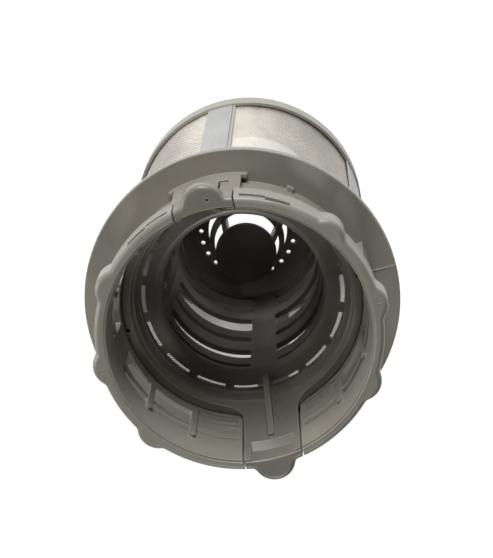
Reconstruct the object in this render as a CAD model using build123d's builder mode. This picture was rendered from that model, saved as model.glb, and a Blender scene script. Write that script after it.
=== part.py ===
from build123d import *
from math import atan, cos, degrees, radians, sin
import os

# A dishwasher's sump filter, upright on its cage, with the grip rim on top.
# The origin is the bottom centre of the cage, Z runs up the axis, and the two pull arms lie on the Y axis.

# Cage and fine mesh
cage_radius = 39.95
cage_wall = 2.35
bottom_ring_height = 8.5
bottom_lip_radius = 26.0
bottom_lip_thickness = 1.8
top_band_height = 6.0
strip_step = 0.5
front_strip_width = 8.9
side_strip_width = 19.3
bead_width = 0.6
bead_groove = 0.4
ring_edge_round = 0.5
mesh_radius = 38.9
mesh_thickness = 0.4
mesh_bite = 3.0

# Flange and neck of the collar
flange_face = 105.5
flange_reach = 7.55
flange_thickness = 2.7
flange_edge_round = 0.4
cage_rebate = 0.5
spigot_depth = 5.0
spigot_clearance = 0.15
seat_radius = 35.0
seat_drop = 1.6
neck_height = 20.5
neck_bore = 36.4
neck_wall = 1.25
neck_flare_length = 10.0
neck_flare_reach = 0.75
parting_line_width = 0.4
parting_line_height = 0.12

# Grip rim and lobes
rim_height = 10.0
rim_radius = 41.3
rim_wall = 1.6
rim_edge_round = 1.5
lip_radius = 38.0
lip_step_width = 0.7
lip_step_depth = 0.4
lobe_round = 6.2
lobe_roof = 3.0
lobe_core_radius = 39.4
side_lobe_centre = 37.1
side_lobe_height = 8.0
side_lobe_blend = 2.0
side_lobe_angle = 36.0
arm_lobe_centre = 39.6
arm_lobe_height = 4.0
arm_lobe_blend = 1.6
rim_groove_depth = 1.2
rim_groove_height = 2.4
rim_groove_drop = 4.1
rim_groove_rise = 1.0
rim_groove_angle = 10.2
rim_groove_start_angle = 14.6

# Windows through the neck, the pocket beside each arm and the ribs between them,
# all counted from the side lobes towards the arms
neck_window_angles = [(7.0, 26.8), (30.0, 50.8)]
neck_pocket_angles = (54.0, 74.2)
neck_rib_angles = [28.4, 52.4]
neck_rib_width = 2.0
neck_rib_round = 0.9
neck_rib_height = 22.0
window_sill = 5.5
window_lintel = 1.2
window_corner = 0.8
window_rail_drop = 5.6
window_rail_height = 2.0
window_rail_set_back = 0.5
window_rail_lap_angle = 1.0
pocket_sill = 2.0
pocket_depth = 0.7
pocket_slot_drop = 1.0
pocket_slot_height = 2.0
pocket_ridge_heights = [6.2, 9.2]
pocket_ridge_thickness = 0.4

# Housings round the arms and the two plain side blocks
housing_radius = 40.4
housing_width = 21.0
housing_wall = 1.5
side_block_width = 20.0
ledge_reach = 1.8
ledge_height = 2.2
ledge_wall = 1.2
tab_width = 1.9
tab_height = 2.0
tab_reach = 1.3
tab_angle = 233.5

# Cuts through each housing's wall: start from the arm's middle, width, foot above the flange and height
housing_cuts = [
    (-7.0, 2.5, 8.0, 2.0),
    (-4.6, 0.7, 8.0, 8.4),
    (-3.0, 2.3, 11.3, 1.7),
    (3.2, 0.8, 11.6, 1.7),
    (5.3, 1.6, 7.7, 2.2),
]

# Arms of the coarse filter
arm_width = 16.9
arm_gap = 0.5
arm_plate_straight = 6.5
arm_plate_bend = 3.5
arm_plate_outer_top = 38.2
arm_foot_width = 36.0
arm_foot_blend = 5.0
arm_recess_drop = 0.7
arm_recess_slope = 2.6
arm_recess_depth = 1.6
arm_recess_lip_depth = 0.5
arm_recess_width = 12.8
fin_width = 1.7
fin_foot_radius = 26.8
fin_head_drop = 2.2
fin_head_depth = 1.3

# Cup, shoulder and basket of the coarse filter
cup_clearance = 0.3
seat_clearance = 0.1
cup_rim_thickness = 2.0
cup_mouth_radius = 33.8
cup_wall = 1.5
cup_depth = 8.0
cup_ledge_heights = [1.3, 5.4]
cup_ledge_reach = 0.5
cup_ledge_rise = 0.2
shoulder_radius = 31.1
basket_height = 64.5
basket_wall = 1.6
basket_top_radius = 25.1
basket_bottom_radius = 22.4
shoulder_round = 2.0
shoulder_slot_width = 1.3
shoulder_slot_count = 16
shoulder_slot_angle = 17.2
basket_slot_angle = 71.0
basket_slot_round = 0.9
key_notch_width = 1.4
key_notch_depth = 1.1
lobe_mark_radius = 0.5
lobe_mark_depth = 0.4
lobe_mark_offset = 1.8

# Rows of slots in the basket: depth of the row's head below the shoulder, and height
basket_slot_rows = [(48.8, 11.3), (32.7, 9.9), (23.7, 3.5), (10.6, 5.9), (3.3, 2.3)]

# Floor insert of the basket
floor_clearance = 0.12
floor_edge_rise = 2.4
floor_edge_thickness = 2.0
floor_dish_depth = 5.9
floor_dish_radius = 17.2
floor_bulge_out_share = 0.6
floor_bulge_up_share = 0.32
floor_wall = 1.6
floor_opening_radius = 13.4
floor_opening_rise = 0.7
drain_hole_radius = 0.75
drain_ring_radius = 15.93
drain_hole_count = 24
drain_hole_turn_angle = 1.7
cone_ring_inner_radius = 10.76
cone_ring_outer_radius = 12.57
cone_ring_lift = 10.2
cone_ring_rise = 3.0
cap_radius = 10.0
cap_lift = 24.6
cap_skirt_height = 1.6
cap_rise = 3.3
cap_wall = 1.5
strut_width = 1.9
strut_depth = 1.8
strut_angles = [64.5, 191.0, 298.0]

# How far a cut runs past what it cuts, and how near two sizes are to count as the same
cut_margin = 1.0
same_size = 0.01

# Sizes that follow
flange_radius = cage_radius + flange_reach
flange_underside = flange_face - flange_thickness
cage_bore = cage_radius - cage_wall
strip_radius = cage_radius - strip_step
cage_height = flange_underside + cage_rebate
cage_window_head = flange_underside - top_band_height
neck_radius = neck_bore + neck_wall
rim_foot = flange_face + neck_height
rim_top = rim_foot + rim_height
lip_foot = rim_top - lip_step_depth
neck_flare_height = rim_foot - neck_flare_length
window_foot = flange_face + window_sill
window_head = rim_foot - window_lintel
window_rail_foot = window_head - window_rail_drop
arm_slot_width = arm_width + 2 * arm_gap
arm_recess_foot = rim_foot - arm_recess_drop
arm_recess_back = arm_recess_foot + arm_recess_slope
fin_head = rim_foot - fin_head_drop
housing_bore = housing_radius - housing_wall
seat_height = flange_face - seat_drop
cup_rim_radius = neck_bore - cup_clearance
cup_rim_foot = seat_height + seat_clearance
cup_rim_height = cup_rim_foot + cup_rim_thickness
shoulder_height = cup_rim_height - cup_depth
shoulder_foot = shoulder_height - basket_wall
basket_foot = shoulder_height - basket_height
floor_edge_height = basket_foot + floor_edge_rise
floor_dish_height = floor_edge_height - floor_dish_depth
cone_ring_foot = floor_dish_height + cone_ring_lift
cap_skirt_foot = floor_dish_height + cap_lift
arms = [90, 270]
sides = [0, 180]
reach = 2 * flange_radius
quarters = [(side, sign) for side in sides for sign in (1, -1)]


def ring_sector(inner_radius, outer_radius, start, span):
    """A flat piece of a ring, from the angle start over the angle span."""
    with BuildSketch() as piece:
        with BuildLine():
            inner = CenterArc((0, 0), inner_radius, start, span)
            outer = CenterArc((0, 0), outer_radius, start, span)
            Line(inner @ 0, outer @ 0)
            Line(inner @ 1, outer @ 1)
        make_face()
    return piece.sketch


def ring_block(inner_radius, outer_radius, start, span, foot, head, corner=0):
    """A piece of a ring with height, its radial edges rounded by corner."""
    with BuildPart() as block:
        with BuildSketch(Plane.XY.offset(foot)):
            add(ring_sector(inner_radius, outer_radius, start, span))
        extrude(amount=head - foot)
        if corner:
            radial = block.edges().filter_by(GeomType.LINE).filter_by(Axis.Z, reverse=True)
            fillet(radial, corner)
    return block.part


def turned(*profile):
    """A solid of revolution round Z from its corners, given as radius and height."""
    with BuildPart() as shape:
        with BuildSketch(Plane.XZ):
            with BuildLine():
                Polyline(*profile, close=True)
            make_face()
        revolve(axis=Axis.Z)
    return shape.part


def bar_across(width, foot, head):
    """A bar along the arms' axis, used to cut to the arms' width or to keep only that width."""
    with BuildPart() as bar:
        with BuildSketch(Plane.XY.offset(foot)):
            Rectangle(width, reach)
        extrude(amount=head - foot)
    return bar.part


def grip_rim(lobe_angles, lobe_centre, lobe_height, lobe_blend):
    """The grip rim before it is bored out: a disc with blended lobes, rounded on top and cored from below."""
    lobes = [(lobe_centre * cos(radians(a)), lobe_centre * sin(radians(a))) for a in lobe_angles]
    with BuildPart() as rim:
        with BuildSketch(Plane.XY.offset(rim_foot)) as outline:
            Circle(rim_radius)
            with Locations(lobes):
                Circle(lobe_round)
            on_rim = [v for v in outline.vertices() if abs(Vector(v.X, v.Y).length - rim_radius) < same_size]
            fillet(on_rim, lobe_blend)
        extrude(amount=rim_height)
        fillet(rim.faces().sort_by(Axis.Z)[-1].edges(), rim_edge_round)
        with BuildSketch(Plane.XY.offset(rim_foot)):
            Circle(reach)
            Circle(rim_radius, mode=Mode.SUBTRACT)
        extrude(amount=rim_height - lobe_height, mode=Mode.SUBTRACT)
        with BuildSketch(Plane.XY.offset(rim_top - lobe_height)):
            with Locations(lobes):
                Circle(lobe_round - rim_wall)
            Circle(lobe_core_radius, mode=Mode.SUBTRACT)
        extrude(amount=lobe_height - lobe_roof, mode=Mode.SUBTRACT)
    return rim.part


def cup_radius(height):
    """The inner radius of the cup's sloping wall at a height."""
    slope = (cup_mouth_radius - shoulder_radius) / (cup_rim_height - shoulder_height)
    return shoulder_radius + (height - shoulder_height) * slope


def bore_radius(height):
    """The radius of the collar's bore where it widens towards the lip."""
    slope = (lip_radius - neck_bore) / (lip_foot - neck_flare_height)
    return neck_bore + max(0, height - neck_flare_height) * slope


# The bore of the collar, from the cup's seat to the lip
bore_profile = [
    (0, seat_height),
    (neck_bore, seat_height),
    (neck_bore, neck_flare_height),
    (lip_radius, lip_foot),
    (lip_radius + lip_step_width, lip_foot),
    (lip_radius + lip_step_width, rim_top + cut_margin),
    (0, rim_top + cut_margin),
]

# Cage: bottom ring with its inner lip, four strips and top band, with the groove that holds the mesh
with BuildPart() as mesh_cage:
    with BuildSketch():
        Circle(cage_radius)
        Circle(cage_bore, mode=Mode.SUBTRACT)
    extrude(amount=cage_height)
    with BuildSketch():
        Circle(cage_radius)
        Circle(bottom_lip_radius, mode=Mode.SUBTRACT)
    extrude(amount=bottom_lip_thickness)
    fillet(mesh_cage.faces().sort_by(Axis.Z)[0].outer_wire().edges(), ring_edge_round)
    chamfer(mesh_cage.faces().sort_by(Axis.Z)[-1].outer_wire().edges(), cage_rebate)
    with BuildSketch(Plane.XY.offset(bottom_ring_height)):
        Circle(cage_radius + cut_margin)
        Circle(cage_bore - cut_margin, mode=Mode.SUBTRACT)
        Rectangle(front_strip_width, reach, mode=Mode.SUBTRACT)
        Rectangle(reach, side_strip_width, mode=Mode.SUBTRACT)
        bead_middle = (front_strip_width + bead_groove + bead_width) / 2
        with Locations((-bead_middle, -reach / 2), (bead_middle, reach / 2)):
            Rectangle(bead_groove + bead_width, reach, mode=Mode.SUBTRACT)
    extrude(amount=cage_window_head - bottom_ring_height, mode=Mode.SUBTRACT)
    with BuildSketch(Plane.XY.offset(bottom_ring_height)):
        Circle(cage_radius + cut_margin)
        Circle(strip_radius, mode=Mode.SUBTRACT)
    extrude(amount=cage_window_head - bottom_ring_height, mode=Mode.SUBTRACT)
    with BuildSketch(Plane.XY.offset(bottom_ring_height)):
        groove_middle = (front_strip_width + bead_groove) / 2
        with Locations((-groove_middle, -reach / 2), (groove_middle, reach / 2)):
            Rectangle(bead_groove, reach)
        Circle(strip_radius - bead_groove, mode=Mode.SUBTRACT)
    extrude(amount=cage_window_head - bottom_ring_height, mode=Mode.SUBTRACT)
    with BuildSketch(Plane.XY.offset(bottom_ring_height - mesh_bite)):
        Circle(mesh_radius)
        Circle(mesh_radius - mesh_thickness, mode=Mode.SUBTRACT)
    extrude(amount=cage_window_head - bottom_ring_height + 2 * mesh_bite, mode=Mode.SUBTRACT)
mesh_cage.part.label = "mesh_cage"

# Fine steel sleeve, its edges held in the ring and the band
with BuildPart() as steel_mesh:
    with BuildSketch(Plane.XY.offset(bottom_ring_height - mesh_bite)):
        Circle(mesh_radius)
        Circle(mesh_radius - mesh_thickness, mode=Mode.SUBTRACT)
    extrude(amount=cage_window_head - bottom_ring_height + 2 * mesh_bite)
steel_mesh.part.label = "steel_mesh"

# Collar: flange, neck and rim, with the housings, the windows and the slots for the arms
side_lobes = [side + turn for side in sides for turn in (-side_lobe_angle, 0, side_lobe_angle)]
housing_angle = degrees(atan(housing_width / 2 / housing_radius))
side_block_angle = degrees(atan(side_block_width / 2 / housing_radius))
ledge_angle = degrees(ledge_reach / housing_radius)

with BuildPart() as arm_slots:
    with BuildSketch(Plane.XY.offset(flange_face)):
        Circle(housing_bore)
        Rectangle(arm_slot_width, reach, mode=Mode.INTERSECT)
    extrude(amount=rim_foot - flange_face)
    add(bar_across(arm_slot_width, rim_foot - arm_gap, rim_top + arm_gap))

with BuildPart() as grip_collar:
    add(
        turned(
            (seat_radius, flange_underside - spigot_depth),
            (cage_bore - spigot_clearance, flange_underside - spigot_depth),
            (cage_bore - spigot_clearance, cage_height),
            (cage_radius + spigot_clearance, cage_height),
            (cage_radius + spigot_clearance, flange_underside),
            (flange_radius, flange_underside),
            (flange_radius, flange_face),
            (neck_radius, flange_face),
            (neck_radius, neck_flare_height),
            (neck_radius + neck_flare_reach, rim_foot),
            (neck_bore, rim_foot),
            (neck_bore, seat_height),
            (seat_radius, seat_height),
        )
    )
    round_edges = grip_collar.edges().filter_by(GeomType.CIRCLE)
    fillet([e for e in round_edges if abs(e.radius - flange_radius) < same_size], flange_edge_round)
    add(grip_rim(side_lobes, side_lobe_centre, side_lobe_height, side_lobe_blend))

    # Housings behind the arms, with a low ledge at each end, and the side blocks
    for arm in arms:
        add(
            ring_block(
                neck_bore + neck_wall / 2,
                housing_radius,
                arm - housing_angle,
                2 * housing_angle,
                flange_face,
                rim_foot,
            )
        )
        add(
            ring_block(
                housing_radius - ledge_wall,
                housing_radius,
                arm - housing_angle - ledge_angle,
                2 * (housing_angle + ledge_angle),
                flange_face,
                flange_face + ledge_height,
            )
        )
    for side in sides:
        add(
            ring_block(
                neck_bore + neck_wall / 2,
                housing_radius,
                side - side_block_angle,
                2 * side_block_angle,
                flange_face,
                rim_foot,
            )
        )
    add(turned(*bore_profile), mode=Mode.SUBTRACT)
    add(arm_slots.part, mode=Mode.SUBTRACT)

    # Small cuts through the housings' outer walls
    for arm in arms:
        for start, width, rise, height in housing_cuts:
            cut = ring_block(
                housing_bore - same_size,
                housing_radius + cut_margin,
                arm + degrees(start / housing_radius),
                degrees(width / housing_radius),
                flange_face + rise,
                flange_face + rise + height,
            )
            add(cut, mode=Mode.SUBTRACT)

    # Windows, each with a thin rail near its head, and the upright ribs between them
    for side, sign in quarters:
        for near, far in neck_window_angles:
            start = min(side + sign * near, side + sign * far)
            window = ring_block(
                neck_bore - cut_margin,
                neck_radius + neck_flare_reach + cut_margin,
                start,
                far - near,
                window_foot,
                window_head,
                window_corner,
            )
            add(window, mode=Mode.SUBTRACT)
            rail = ring_block(
                neck_bore + window_rail_set_back,
                neck_radius,
                start - window_rail_lap_angle,
                far - near + 2 * window_rail_lap_angle,
                window_rail_foot,
                window_rail_foot + window_rail_height,
            )
            add(rail)
        near, far = neck_pocket_angles
        start = min(side + sign * near, side + sign * far)
        pocket_span = far - near
        pocket_foot = flange_face + pocket_sill
        pocket = ring_block(
            neck_bore - cut_margin, neck_bore + pocket_depth, start, pocket_span, pocket_foot, window_head
        )
        add(pocket, mode=Mode.SUBTRACT)
        pocket_slot_head = window_head - pocket_slot_drop
        slot = ring_block(
            neck_bore - cut_margin,
            neck_radius + neck_flare_reach + cut_margin,
            start,
            pocket_span,
            pocket_slot_head - pocket_slot_height,
            pocket_slot_head,
            window_corner,
        )
        add(slot, mode=Mode.SUBTRACT)
        ridges = [(flange_face + rise, pocket_ridge_thickness) for rise in pocket_ridge_heights]
        for foot, thickness in ridges + [(window_rail_foot, window_rail_height / 2)]:
            ridge = ring_block(
                neck_bore + pocket_depth - pocket_ridge_thickness,
                neck_radius,
                start,
                pocket_span,
                foot,
                foot + thickness,
            )
            add(ridge)
        for middle in neck_rib_angles:
            rib_angle = degrees(neck_rib_width / neck_bore)
            rib = ring_block(
                neck_bore,
                neck_radius,
                side + sign * middle - rib_angle / 2,
                rib_angle,
                flange_face,
                flange_face + neck_rib_height,
                neck_rib_round,
            )
            add(rib)

    # Stepped grooves in the rim beside each arm
    for arm in arms:
        for sign in (1, -1):
            for step in (0, 1):
                near = arm + sign * (rim_groove_start_angle + step * rim_groove_angle)
                far = near + sign * rim_groove_angle
                foot = rim_top - rim_groove_drop + step * rim_groove_rise
                groove = ring_block(
                    rim_radius - rim_groove_depth,
                    rim_radius + cut_margin,
                    min(near, far),
                    rim_groove_angle,
                    foot,
                    foot + rim_groove_height,
                )
                add(groove, mode=Mode.SUBTRACT)

    # Small tab at the neck's foot, and the raised parting lines on the flange
    for turn in sides:
        tab_turn = degrees(tab_width / neck_radius)
        add(
            ring_block(
                neck_bore + neck_wall / 2,
                neck_radius + tab_reach,
                tab_angle + turn - tab_turn / 2,
                tab_turn,
                flange_face,
                flange_face + tab_height,
            )
        )
    with BuildSketch(Plane.XY.offset(flange_face)):
        Rectangle(2 * (flange_radius - flange_edge_round), parting_line_width)
        Circle(neck_radius, mode=Mode.SUBTRACT)
    extrude(amount=parting_line_height)
grip_collar.part.label = "grip_collar"

# Coarse filter: basket, shoulder, cup and the two arms
with BuildPart() as arm_plates:
    with BuildSketch(Plane.XZ) as arm_face:
        with Locations((0, cup_rim_foot)):
            Rectangle(arm_width, rim_top - cup_rim_foot, align=(Align.CENTER, Align.MIN))
            Rectangle(arm_foot_width, cup_rim_thickness, align=(Align.CENTER, Align.MIN))
        inner_corners = [
            v
            for v in arm_face.vertices()
            if abs(v.Y - cup_rim_height) < same_size and abs(v.X) < arm_foot_width / 2 - same_size
        ]
        fillet(inner_corners, arm_foot_blend)
    extrude(amount=reach, both=True)
    add(
        turned(
            (cup_radius(cup_rim_foot), cup_rim_foot),
            (cup_rim_radius, cup_rim_foot),
            (cup_rim_radius, flange_face + arm_plate_straight),
            (arm_plate_outer_top, fin_head),
            (arm_plate_outer_top, rim_foot + rim_wall),
            (bore_radius(rim_foot + rim_wall), rim_foot + rim_wall),
            (cup_radius(cup_rim_height + arm_plate_bend), cup_rim_height + arm_plate_bend),
            (cup_mouth_radius, cup_rim_height),
        ),
        mode=Mode.INTERSECT,
    )

# The ends of the arms are pieces of the grip rim, with a lobe each
with BuildPart() as arm_ends:
    add(grip_rim(arms, arm_lobe_centre, arm_lobe_height, arm_lobe_blend))
    add(bar_across(arm_width, cup_rim_foot, rim_top + cut_margin), mode=Mode.INTERSECT)
    add(turned(*bore_profile), mode=Mode.SUBTRACT)

# A fin up the middle of each arm, standing on the shoulder
with BuildPart() as arm_fins:
    add(
        turned(
            (fin_foot_radius, shoulder_height - basket_wall / 2),
            (bore_radius(fin_head) - fin_head_depth, fin_head),
            (bore_radius(fin_head), fin_head),
            (cup_mouth_radius + cup_wall / 2, cup_rim_height),
            (shoulder_radius + cup_wall / 2, shoulder_height - basket_wall / 2),
        )
    )
    add(bar_across(fin_width, shoulder_foot, rim_top), mode=Mode.INTERSECT)

# The recess in the top of each arm, with a sloping foot
with BuildPart() as arm_recess:
    add(
        turned(
            (neck_bore - cut_margin, arm_recess_foot),
            (bore_radius(arm_recess_foot), arm_recess_foot),
            (bore_radius(arm_recess_back) + arm_recess_depth, arm_recess_back),
            (lip_radius + arm_recess_lip_depth, lip_foot),
            (neck_bore - cut_margin, lip_foot),
        )
    )
    add(bar_across(arm_recess_width, cup_rim_foot, rim_top), mode=Mode.INTERSECT)

# The two low ledges round the cup's sloping wall, as corners of its section
cup_ledges = []
for rise in cup_ledge_heights:
    ledge_foot = shoulder_height + rise
    cup_ledges.append((cup_radius(ledge_foot) - cup_ledge_reach / 2, ledge_foot))
    cup_ledges.append((cup_radius(ledge_foot) + cup_ledge_reach / 2, ledge_foot + cup_ledge_rise))

with BuildPart() as coarse_filter:
    with BuildSketch(Plane.XZ) as wall_section:
        with BuildLine():
            Polyline(
                (basket_bottom_radius, basket_foot),
                (basket_top_radius, shoulder_height),
                (shoulder_radius, shoulder_height),
                *cup_ledges,
                (cup_mouth_radius, cup_rim_height),
                (cup_rim_radius, cup_rim_height),
                (cup_rim_radius, cup_rim_foot),
                (cup_radius(cup_rim_foot) + cup_wall, cup_rim_foot),
                (cup_radius(shoulder_foot) + cup_wall, shoulder_foot),
                (basket_top_radius + basket_wall, shoulder_foot),
                (basket_bottom_radius + basket_wall, basket_foot),
                close=True,
            )
        make_face()
        shoulder_corner = wall_section.vertices().sort_by_distance((basket_top_radius, shoulder_height))[0]
        fillet(shoulder_corner, shoulder_round)
    revolve(axis=Axis.Z)
    add(arm_plates.part)
    add(arm_ends.part)
    add(arm_fins.part)
    add(arm_recess.part, mode=Mode.SUBTRACT)

    # Rows of long slots through the basket's wall, one in each quarter
    solid_strip = 90 - basket_slot_angle
    for depth, height in basket_slot_rows:
        slot = ring_block(
            basket_bottom_radius - cut_margin,
            basket_top_radius + basket_wall + cut_margin,
            solid_strip / 2,
            basket_slot_angle,
            shoulder_height - depth - height,
            shoulder_height - depth,
            basket_slot_round,
        )
        with PolarLocations(0, 4):
            add(slot, mode=Mode.SUBTRACT)

    # Arc slots round the shoulder, at the foot of the cup
    with BuildSketch(Plane.XY.offset(shoulder_foot - cut_margin)):
        with PolarLocations(0, shoulder_slot_count, start_angle=180 / shoulder_slot_count):
            add(
                ring_sector(
                    shoulder_radius - shoulder_slot_width,
                    shoulder_radius,
                    -shoulder_slot_angle / 2,
                    shoulder_slot_angle,
                )
            )
    extrude(amount=basket_wall + 2 * cut_margin, mode=Mode.SUBTRACT)

    # A key notch at each side of the cup's rim, and the moulding mark on one arm's lobe
    with BuildSketch(Plane.XY.offset(cup_rim_foot)):
        with Locations((cup_rim_radius, 0), (-cup_rim_radius, 0)):
            Rectangle(2 * key_notch_depth, key_notch_width)
    extrude(amount=cup_rim_thickness, mode=Mode.SUBTRACT)
    with BuildSketch(Plane.XY.offset(rim_top)):
        with Locations((-lobe_mark_offset, -rim_radius)):
            Circle(lobe_mark_radius)
    extrude(amount=-lobe_mark_depth, mode=Mode.SUBTRACT)
coarse_filter.part.label = "coarse_filter"

# Floor insert: dished floor with drain holes, conical ring and cap on three struts
floor_radius = basket_bottom_radius - floor_clearance
with BuildPart() as basket_floor:
    with BuildSketch(Plane.XZ):
        with BuildLine():
            rise = floor_edge_height - floor_dish_height
            run = floor_radius - floor_dish_radius
            bulge_radius = floor_dish_radius + floor_bulge_out_share * run
            upper_bulge = (bulge_radius, floor_dish_height + floor_bulge_up_share * rise)
            lower_bulge = (bulge_radius, floor_dish_height - floor_wall + floor_bulge_up_share * rise)
            floor_opening_height = floor_dish_height + floor_opening_rise
            ThreePointArc((floor_dish_radius, floor_dish_height), upper_bulge, (floor_radius, floor_edge_height))
            Polyline(
                (floor_radius, floor_edge_height),
                (floor_radius, floor_edge_height - floor_edge_thickness),
            )
            ThreePointArc(
                (floor_radius, floor_edge_height - floor_edge_thickness),
                lower_bulge,
                (floor_dish_radius, floor_dish_height - floor_wall),
            )
            Polyline(
                (floor_dish_radius, floor_dish_height - floor_wall),
                (floor_opening_radius, floor_opening_height - floor_wall),
                (floor_opening_radius, floor_opening_height),
                (floor_dish_radius, floor_dish_height),
            )
        make_face()
    revolve(axis=Axis.Z)
    with BuildSketch(Plane.XY.offset(floor_dish_height - 2 * floor_wall)):
        with PolarLocations(drain_ring_radius, drain_hole_count, start_angle=drain_hole_turn_angle):
            Circle(drain_hole_radius)
    extrude(amount=4 * floor_wall, mode=Mode.SUBTRACT)

    add(
        turned(
            (cone_ring_inner_radius, cone_ring_foot + cone_ring_rise),
            (cone_ring_outer_radius, cone_ring_foot),
            (cone_ring_outer_radius, cone_ring_foot + floor_wall),
            (cone_ring_inner_radius, cone_ring_foot + cone_ring_rise + floor_wall),
        )
    )
    skirt_head = cap_skirt_foot + cap_skirt_height
    add(
        turned(
            (0, skirt_head + cap_rise),
            (cap_radius, skirt_head),
            (cap_radius, cap_skirt_foot),
            (cap_radius - cap_wall, cap_skirt_foot),
            (cap_radius - cap_wall, skirt_head - cap_wall),
            (0, skirt_head + cap_rise - cap_wall),
        )
    )
    for angle in strut_angles:
        outward = (cos(radians(angle)), sin(radians(angle)), 0)
        sideways = (outward[1], -outward[0], 0)
        with BuildSketch(Plane((0, 0, 0), x_dir=outward, z_dir=sideways)):
            with BuildLine():
                Polyline(
                    (floor_opening_radius + strut_depth / 2, floor_opening_height - floor_wall / 2),
                    (cone_ring_outer_radius, cone_ring_foot + floor_wall / 2),
                    (cap_radius, skirt_head),
                    (cap_radius - cap_wall, skirt_head),
                    (cone_ring_inner_radius, cone_ring_foot + floor_wall / 2),
                    (floor_opening_radius - strut_depth / 2, floor_opening_height - floor_wall / 2),
                    close=True,
                )
            make_face()
        extrude(amount=strut_width / 2, both=True)
basket_floor.part.label = "basket_floor"

os.makedirs("parts", exist_ok=True)
for node in (mesh_cage, steel_mesh, grip_collar, coarse_filter, basket_floor):
    export_step(node.part, f"parts/{node.part.label}.step")
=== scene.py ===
from math import cos, pi, radians, sin

import bpy
from mathutils import Matrix, Vector, noise


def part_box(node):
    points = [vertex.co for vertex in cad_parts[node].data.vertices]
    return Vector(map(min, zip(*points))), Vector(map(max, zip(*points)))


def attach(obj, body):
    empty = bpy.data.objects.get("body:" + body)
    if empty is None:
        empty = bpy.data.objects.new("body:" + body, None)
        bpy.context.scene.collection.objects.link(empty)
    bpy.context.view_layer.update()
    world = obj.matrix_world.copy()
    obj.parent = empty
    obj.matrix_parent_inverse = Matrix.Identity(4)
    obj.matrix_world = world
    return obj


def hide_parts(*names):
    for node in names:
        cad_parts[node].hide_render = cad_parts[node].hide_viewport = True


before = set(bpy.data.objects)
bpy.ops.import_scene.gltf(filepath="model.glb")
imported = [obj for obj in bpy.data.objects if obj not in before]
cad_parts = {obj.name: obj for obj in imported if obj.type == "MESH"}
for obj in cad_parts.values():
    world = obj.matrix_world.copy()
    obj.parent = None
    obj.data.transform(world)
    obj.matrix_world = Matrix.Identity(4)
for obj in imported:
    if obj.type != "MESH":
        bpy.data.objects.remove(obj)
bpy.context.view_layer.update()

MM = 0.001

# Camera: its place, what it points at, its roll, its lens and sensor in mm, and its near limit
camera_place = Vector((-55.212, -158.329, 587.943)) * MM
camera_aim = Vector((-3.206, -6.865, 105.5)) * MM
camera_roll = radians(-175.681)
camera_lens = 109.68
camera_sensor = 36
camera_near = 0.01

# Lamps: power, size, azimuth and elevation of each, all at one distance from the filter's middle
lamp_aim = Vector((0, 0, 90)) * MM
lamp_distance = 0.9
lamps = {
    "key": (7.8, 0.42, radians(-100), radians(19)),
    "side": (3.2, 0.36, radians(-12), radians(19)),
    "back": (2.7, 0.30, radians(82), radians(42)),
}

# Room: strength low down and overhead, the share of it on the left and right, and where each changes
low_room_strength = 0.36
high_room_strength = 0.01
room_up_range = (0.15, 0.60)
room_left_share = 0.2
room_right_share = 1.3
room_side_range = (-0.8, 0.8)

# Floor: its width, what the camera sees of it (a glow and a surface that takes shadow) and its paint
floor_width = 8
floor_glow = 0.98
floor_shade = (0.15, 0.15, 0.15, 1)
floor_paint = (0.8, 0.8, 0.8, 1)

# Colours, linear
cage_light = (0.325, 0.316, 0.272)
cage_dark = (0.285, 0.275, 0.236)
collar_light = (0.285, 0.268, 0.228)
collar_dark = (0.248, 0.232, 0.195)
insert_light = (0.212, 0.197, 0.165)
insert_dark = (0.176, 0.162, 0.133)
# Lighter colour of the edges: partly wear, partly a painted highlight
wear_and_highlight_colour = (0.50, 0.47, 0.40)
strip_light = (0.360, 0.362, 0.358)
strip_dark = (0.315, 0.317, 0.313)
# Light end of the steel's tint: its lighter patches and the painted reflection on its two brighter sides
steel_light_and_painted_reflection = (1.0, 0.95, 0.84)
steel_dark = (0.36, 0.33, 0.275)

# Gloss of the mouldings: their roughness, how far it varies, and their refraction
outer_roughness = 0.34
insert_roughness = 0.33
smoother = 0.05
rougher = 0.07
plastic_ior = 1.5

# Noises: stretch along each axis, scale, detail and roughness
plastic_clouds = ((1, 1, 1), 55, 3.0, 0.55)
plastic_flow = ((1, 1, 0.12), 420, 2.0, 0.5)
plastic_grain = ((1, 1, 1), 2600, 1.0, 0.5)
steel_clouds = ((1, 1, 0.4), 70, 3.0, 0.6)
steel_dents = ((1, 1, 1), 260, 2.0, 0.5)

# Ranges of a noise over which a colour or a gloss changes
cloud_colour_range = (0.32, 0.68)
strip_colour_range = (0.35, 0.65)
patch_range = (0.35, 0.65)
gloss_range = (0.3, 0.7)

# Bumps: height and strength
flow_bump = (0.03 * MM, 0.35)
grain_bump = (0.02 * MM, 0.35)
parting_bump = (0.12 * MM, 1.0)
dent_bump = (0.10 * MM, 0.5)
emboss_bump = (0.05 * MM, 1.0)
hole_edge_bump = (0.05 * MM, 0.6)

# Edges of the mouldings: how far they are softened, and how far their colour goes to the lighter one, which
# is partly wear and partly a painted highlight
edge_softness = 0.38 * MM
edge_samples = 6
edge_wear_and_highlight = 0.75

# Cosines between the softened normal and the face's own, where an edge begins and where it is full
edge_cosines = (0.99, 0.86)

# Heights at which the strips' own colour starts, over the cage's bottom ring, and is full
strips_from = 8.5 * MM
strips_full = strips_from + 0.3 * MM

# Parting line: half its width where it is full and where it ends, and how far out it starts
parting_full = 0.10 * MM
parting_end = 0.26 * MM
parting_from = 39.6 * MM

# Steel sleeve: the sheet's own place and its grid
sheet_low, sheet_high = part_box("steel_mesh")
sheet_thickness = 0.4 * MM
sheet_middle = sheet_high[0] - sheet_thickness / 2
columns = 540
rows = 96

# Waves of the sleeve: broad ones with finer ones on them, dying away over the rows at both ends
wave_depth = 0.17 * MM
waves_round = 2.6
wave_length_up = 26 * MM
wave_gain = 1.3
fine_wave_scale = 2.3
fine_wave_share = 0.5
fine_wave_shift = Vector((7, 3, 1))
held_rows = 8

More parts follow.
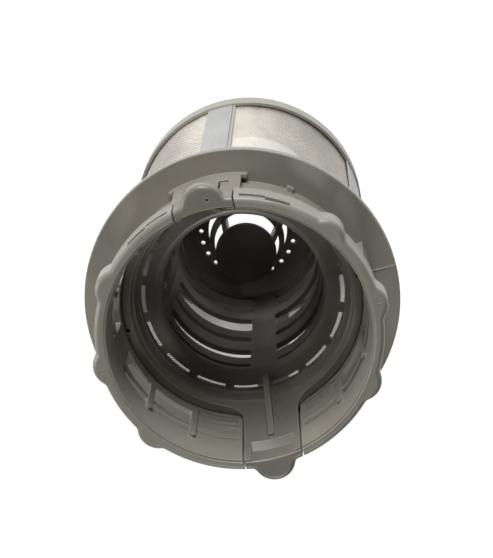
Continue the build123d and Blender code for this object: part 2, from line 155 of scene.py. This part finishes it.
# Round holes of the sleeve, about 1 mm apart across; their other lengths are shares of that spacing
holes_round = 244
hole_row_share = 0.87
hole_row_pitch = hole_row_share * MM
hole_radius = 0.21
hole_blur = 0.03
hole_edge_width = 0.16

# Steel's tint and gloss: the brighter sides, which are a painted reflection, the darker and lighter
# patches, and painted shade in the embossed dimples
painted_reflection_angle = radians(265)
patch_darker = -0.16
patch_lighter = 0.20
painted_dimple_shade = 0.75
emboss_cells = 3.4
steel_roughness = (0.30, 0.42)


def new_material(name):
    """An empty material, with the socket that its surface goes to."""
    material = bpy.data.materials.new(name)
    material.use_nodes = True
    nodes = material.node_tree.nodes
    nodes.clear()
    out = nodes.new("ShaderNodeOutputMaterial")
    return material, nodes, material.node_tree.links, out.inputs["Surface"]


def value(nodes, links, operation, *inputs):
    """One math node with its inputs given as numbers or sockets."""
    node = nodes.new("ShaderNodeMath")
    node.operation = operation
    for slot, item in enumerate(inputs):
        if isinstance(item, (int, float)):
            node.inputs[slot].default_value = item
        else:
            links.new(item, node.inputs[slot])
    return node.outputs[0]


def axes_of(nodes, links, place):
    """The X, Y and Z of a place, by those names."""
    node = nodes.new("ShaderNodeSeparateXYZ")
    links.new(place, node.inputs[0])
    return node.outputs


def object_place(nodes):
    """The object's own coordinates."""
    return nodes.new("ShaderNodeTexCoord").outputs["Object"]


def stretched_noise(nodes, links, stretch, scale, detail, roughness):
    """Noise on the object's own coordinates, stretched along each axis."""
    mapping = nodes.new("ShaderNodeMapping")
    mapping.inputs["Scale"].default_value = stretch
    cloud = nodes.new("ShaderNodeTexNoise")
    cloud.inputs["Scale"].default_value = scale
    cloud.inputs["Detail"].default_value = detail
    cloud.inputs["Roughness"].default_value = roughness
    links.new(object_place(nodes), mapping.inputs["Vector"])
    links.new(mapping.outputs["Vector"], cloud.inputs["Vector"])
    return cloud.outputs["Fac"]


def ranged(nodes, links, source, from_low, from_high, to_low=0, to_high=1):
    """A value taken from one range to another, and held at its ends."""
    node = nodes.new("ShaderNodeMapRange")
    node.inputs["From Min"].default_value = from_low
    node.inputs["From Max"].default_value = from_high
    node.inputs["To Min"].default_value = to_low
    node.inputs["To Max"].default_value = to_high
    links.new(source, node.inputs["Value"])
    return node.outputs["Result"]


def blended(nodes, links, factor, first, second):
    """A colour between two, each given as numbers or a socket."""
    node = nodes.new("ShaderNodeMix")
    node.data_type = "RGBA"
    links.new(factor, node.inputs["Factor"])
    for name, item in (("A", first), ("B", second)):
        socket = [s for s in node.inputs if s.name == name and s.type == "RGBA"][0]
        if isinstance(item, tuple):
            socket.default_value = (*item, 1)
        else:
            links.new(item, socket)
    return [s for s in node.outputs if s.type == "RGBA"][0]


def mixed(nodes, links, factor, first, second):
    """A shader between two."""
    node = nodes.new("ShaderNodeMixShader")
    for slot, item in enumerate((factor, first, second)):
        links.new(item, node.inputs[slot])
    return node.outputs[0]


def bumped(nodes, links, height, distance, strength, normal):
    """A normal with a height laid over it."""
    node = nodes.new("ShaderNodeBump")
    node.inputs["Strength"].default_value = strength
    node.inputs["Distance"].default_value = distance
    links.new(height, node.inputs["Height"])
    links.new(normal, node.inputs["Normal"])
    return node.outputs["Normal"]


def soft_edges(nodes):
    """A normal that turns smoothly round the mouldings' edges."""
    node = nodes.new("ShaderNodeBevel")
    node.samples = edge_samples
    node.inputs["Radius"].default_value = edge_softness
    return node.outputs["Normal"]


def worn_and_highlit_edges(nodes, links, softened):
    """The lightening on an edge, partly wear and partly a painted highlight, where the softened normal
    leaves the face's own, and 0 on a plain face.
    """
    geometry = nodes.new("ShaderNodeNewGeometry")
    node = nodes.new("ShaderNodeVectorMath")
    node.operation = "DOT_PRODUCT"
    links.new(softened, node.inputs[0])
    links.new(geometry.outputs["Normal"], node.inputs[1])
    return ranged(nodes, links, node.outputs["Value"], *edge_cosines, 0, edge_wear_and_highlight)


def with_strips(nodes, links, colour, flow):
    """The ring's colour below, and the strips' cooler one above it."""
    up = axes_of(nodes, links, object_place(nodes))["Z"]
    above = ranged(nodes, links, up, strips_from, strips_full)
    streaks = ranged(nodes, links, flow, *strip_colour_range)
    cool = blended(nodes, links, streaks, strip_dark, strip_light)
    return blended(nodes, links, above, colour, cool)


def with_parting_line(nodes, links, normal):
    """A fine raised line where the two halves of the mould met, on the outside only."""
    place = axes_of(nodes, links, object_place(nodes))
    off = value(nodes, links, "ABSOLUTE", place["Y"])
    line = ranged(nodes, links, off, parting_full, parting_end, 1, 0)
    out = value(nodes, links, "ABSOLUTE", place["X"])
    outside = value(nodes, links, "GREATER_THAN", out, parting_from)
    line = value(nodes, links, "MULTIPLY", line, outside)
    return bumped(nodes, links, line, *parting_bump, normal)


def moulded_plastic(name, light, dark, roughness, strips=False, parting_line=False):
    """Moulded plastic: cloudy colour, fine grain, and soft edges with a lighter colour that is partly wear
    and partly a painted highlight.
    """
    material, nodes, links, surface = new_material(name)
    shader = nodes.new("ShaderNodeBsdfPrincipled")
    shader.inputs["IOR"].default_value = plastic_ior
    clouds = stretched_noise(nodes, links, *plastic_clouds)
    flow = stretched_noise(nodes, links, *plastic_flow)
    grain = stretched_noise(nodes, links, *plastic_grain)
    normal = soft_edges(nodes)

    colour = blended(nodes, links, ranged(nodes, links, clouds, *cloud_colour_range), dark, light)
    if strips:
        colour = with_strips(nodes, links, colour, flow)
    # Edges go lighter: partly wear, partly a painted highlight
    colour = blended(nodes, links, worn_and_highlit_edges(nodes, links, normal), colour, wear_and_highlight_colour)
    links.new(colour, shader.inputs["Base Color"])
    gloss = ranged(nodes, links, clouds, *gloss_range, roughness - smoother, roughness + rougher)
    links.new(gloss, shader.inputs["Roughness"])

    normal = bumped(nodes, links, flow, *flow_bump, normal)
    normal = bumped(nodes, links, grain, *grain_bump, normal)
    if parting_line:
        normal = with_parting_line(nodes, links, normal)
    links.new(normal, shader.inputs["Normal"])
    links.new(shader.outputs[0], surface)
    return material


def from_hole(nodes, links, cells):
    """How far a point is from the middle of its hole; every second row is shifted by half a hole."""
    row = value(nodes, links, "FLOOR", cells["Y"])
    odd = value(nodes, links, "MODULO", row, 2.0)
    shifted = value(nodes, links, "MULTIPLY_ADD", odd, 0.5, cells["X"])
    across = value(nodes, links, "SUBTRACT", value(nodes, links, "FRACT", shifted), 0.5)
    along = value(nodes, links, "SUBTRACT", value(nodes, links, "FRACT", cells["Y"]), 0.5)
    along = value(nodes, links, "MULTIPLY", along, hole_row_share)
    squared = value(nodes, links, "MULTIPLY", across, across)
    squared = value(nodes, links, "MULTIPLY_ADD", along, along, squared)
    return value(nodes, links, "SQRT", squared)


def embossed(nodes, links, cells):
    """Rows of fine dimples, from -1 to 1."""
    turn_across = value(nodes, links, "MULTIPLY", cells["X"], 2 * pi)
    turn_up = value(nodes, links, "MULTIPLY", cells["Y"], 2 * pi / emboss_cells)
    across = value(nodes, links, "SINE", turn_across)
    up = value(nodes, links, "SINE", turn_up)
    return value(nodes, links, "MULTIPLY", across, up)


def steel_tint_and_painted_light(nodes, links, cells, clouds, emboss):
    """From 0, dark, to 1, light: a painted reflection on two brighter sides, patches, and painted shade
    that makes the dimples darker.
    """
    # Painted reflection: two sides of the sleeve lighter by the sheet's angle round it
    turned = value(nodes, links, "MULTIPLY_ADD", cells["X"], 4 * pi / holes_round, -2 * painted_reflection_angle)
    painted_reflection_band = value(nodes, links, "MULTIPLY_ADD", value(nodes, links, "COSINE", turned), 0.5, 0.5)
    patches = ranged(nodes, links, clouds, *patch_range, patch_darker, patch_lighter)
    squared = value(nodes, links, "MULTIPLY", painted_reflection_band, painted_reflection_band)
    tint_and_painted_light = value(nodes, links, "MULTIPLY_ADD", squared, painted_reflection_band, patches)
    # Painted shade: the dimples darker
    dimples = value(nodes, links, "MAXIMUM", emboss, 0.0)
    return value(nodes, links, "MULTIPLY_ADD", dimples, -painted_dimple_shade, tint_and_painted_light)


def perforated_steel():
    """Thin steel with staggered round holes, laid out in the sheet's own cells."""
    material, nodes, links, surface = new_material("perforated_steel")
    shader = nodes.new("ShaderNodeBsdfPrincipled")
    shader.inputs["Metallic"].default_value = 1.0
    layer = nodes.new("ShaderNodeUVMap")
    layer.uv_map = "sheet_cells"
    cells = axes_of(nodes, links, layer.outputs["UV"])
    clouds = stretched_noise(nodes, links, *steel_clouds)
    dents = stretched_noise(nodes, links, *steel_dents)
    emboss = embossed(nodes, links, cells)

    # Tint with a painted reflection on two sides and painted shade in the dimples, and patches that vary at
    # random
    tint_and_painted_light = steel_tint_and_painted_light(nodes, links, cells, clouds, emboss)
    links.new(blended(nodes, links, tint_and_painted_light, steel_dark, steel_light_and_painted_reflection), shader.inputs["Base Color"])
    gloss = ranged(nodes, links, clouds, *gloss_range, *steel_roughness)
    links.new(gloss, shader.inputs["Roughness"])

    reach = from_hole(nodes, links, cells)
    hole_edge = ranged(nodes, links, reach, hole_radius, hole_radius + hole_edge_width)
    normal = nodes.new("ShaderNodeNewGeometry").outputs["Normal"]
    normal = bumped(nodes, links, dents, *dent_bump, normal)
    normal = bumped(nodes, links, emboss, *emboss_bump, normal)
    normal = bumped(nodes, links, hole_edge, *hole_edge_bump, normal)
    links.new(normal, shader.inputs["Normal"])

    metal = ranged(nodes, links, reach, hole_radius - hole_blur, hole_radius + hole_blur)
    clear = nodes.new("ShaderNodeBsdfTransparent")
    links.new(mixed(nodes, links, metal, clear.outputs[0], shader.outputs[0]), surface)
    return material


def dress(node, material):
    """Gives a carried-over node its material."""
    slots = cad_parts[node].data.materials
    slots.clear()
    slots.append(material)


def sleeve_radius(angle, z, row):
    """The sheet's radius at a point, with its waves."""
    spot = Vector((cos(angle) * waves_round, sin(angle) * waves_round, z / wave_length_up))
    wave = noise.noise(spot) + fine_wave_share * noise.noise(spot * fine_wave_scale + fine_wave_shift)
    held = min(1, min(row, rows - row) / held_rows)
    return sheet_middle + wave_depth * max(-1, min(1, wave_gain * wave)) * held


def steel_sleeve():
    """The thin sleeve, slightly wavy, with its cells of holes as a UV layer."""
    height = sheet_high[2] - sheet_low[2]
    verts = []
    for j in range(rows + 1):
        z = sheet_low[2] + height * j / rows
        for i in range(columns):
            angle = 2 * pi * i / columns
            radius = sleeve_radius(angle, z, j)
            verts.append((radius * cos(angle), radius * sin(angle), z))
    faces = []
    for j in range(rows):
        below = j * columns
        above = below + columns
        for i in range(columns):
            k = (i + 1) % columns
            faces.append((below + i, below + k, above + k, above + i))
    mesh = bpy.data.meshes.new("steel_sleeve")
    mesh.from_pydata(verts, [], faces)
    cells = mesh.uv_layers.new(name="sheet_cells")
    for face in mesh.polygons:
        j, i = divmod(face.index, columns)
        corners = ((i, j), (i + 1, j), (i + 1, j + 1), (i, j + 1))
        for loop, (column, row) in zip(face.loop_indices, corners):
            cells.data[loop].uv = (holes_round * column / columns, height * row / rows / hole_row_pitch)
        face.use_smooth = True
    mesh.materials.append(perforated_steel())
    piece = bpy.data.objects.new("steel_sleeve", mesh)
    bpy.context.scene.collection.objects.link(piece)
    return piece


def white_floor():
    """A floor that is white to the camera, with the filter's shadow on it, and plain paint to the light."""
    bpy.ops.mesh.primitive_plane_add(size=floor_width)
    plane = bpy.context.object
    plane.name = "floor"
    material, nodes, links, surface = new_material("floor_white")
    paint = nodes.new("ShaderNodeBsdfDiffuse")
    paint.inputs["Color"].default_value = floor_paint
    glow = nodes.new("ShaderNodeEmission")
    glow.inputs["Strength"].default_value = floor_glow
    shade = nodes.new("ShaderNodeBsdfDiffuse")
    shade.inputs["Color"].default_value = floor_shade
    seen = nodes.new("ShaderNodeAddShader")
    links.new(glow.outputs[0], seen.inputs[0])
    links.new(shade.outputs[0], seen.inputs[1])
    path = nodes.new("ShaderNodeLightPath")
    direct = value(nodes, links, "MAXIMUM", path.outputs["Is Camera Ray"], path.outputs["Is Glossy Ray"])
    direct = value(nodes, links, "MAXIMUM", direct, path.outputs["Is Transmission Ray"])
    links.new(mixed(nodes, links, direct, paint.outputs[0], seen.outputs[0]), surface)
    plane.data.materials.append(material)
    return plane


def room():
    """A white room, bright low down, dark overhead and dimmer on the left."""
    world = bpy.data.worlds.new("room")
    bpy.context.scene.world = world
    world.use_nodes = True
    nodes = world.node_tree.nodes
    links = world.node_tree.links
    background = nodes["Background"]
    background.inputs["Color"].default_value = (1, 1, 1, 1)
    way = axes_of(nodes, links, nodes.new("ShaderNodeTexCoord").outputs["Generated"])
    strength = ranged(nodes, links, way["Z"], *room_up_range, low_room_strength, high_room_strength)
    side = ranged(nodes, links, way["X"], *room_side_range, room_left_share, room_right_share)
    strength = value(nodes, links, "MULTIPLY", strength, side)
    links.new(strength, background.inputs["Strength"])


def softbox(name, power, size, azimuth, elevation):
    """A square lamp that points at the filter's middle."""
    lamp = bpy.data.lights.new(name, "AREA")
    lamp.shape = "SQUARE"
    lamp.size = size
    lamp.energy = power
    lit = bpy.data.objects.new(name, lamp)
    direction = Vector((cos(azimuth) * cos(elevation), sin(azimuth) * cos(elevation), sin(elevation)))
    lit.location = lamp_aim + direction * lamp_distance
    lit.rotation_euler = (-direction).to_track_quat("-Z", "Y").to_euler()
    bpy.context.scene.collection.objects.link(lit)


def camera_object():
    """The camera at the photograph's viewing angle."""
    camera = bpy.data.cameras.new("camera")
    camera.lens = camera_lens
    camera.sensor_width = camera_sensor
    camera.clip_start = camera_near
    taken = bpy.data.objects.new("camera", camera)
    turn = (camera_aim - camera_place).to_track_quat("-Z", "Y").to_matrix().to_4x4()
    taken.matrix_world = Matrix.Translation(camera_place) @ turn @ Matrix.Rotation(camera_roll, 4, "Z")
    bpy.context.scene.collection.objects.link(taken)
    return taken


# The mouldings that carry over
cage_plastic = moulded_plastic("cage_plastic", cage_light, cage_dark, outer_roughness, strips=True)
collar_plastic = moulded_plastic("collar_plastic", collar_light, collar_dark, outer_roughness,
                                 parting_line=True)
insert_plastic = moulded_plastic("insert_plastic", insert_light, insert_dark, insert_roughness)
dress("mesh_cage", cage_plastic)
dress("grip_collar", collar_plastic)
dress("coarse_filter", insert_plastic)
dress("basket_floor", insert_plastic)

# The sleeve that stands for the plain sheet
sleeve = steel_sleeve()
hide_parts("steel_mesh")
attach(sleeve, "cage_and_collar")

# What is round the filter
floor = white_floor()
room()
for name, settings in lamps.items():
    softbox(name, *settings)
bpy.context.scene.camera = camera_object()
bpy.context.scene.view_settings.view_transform = "Standard"
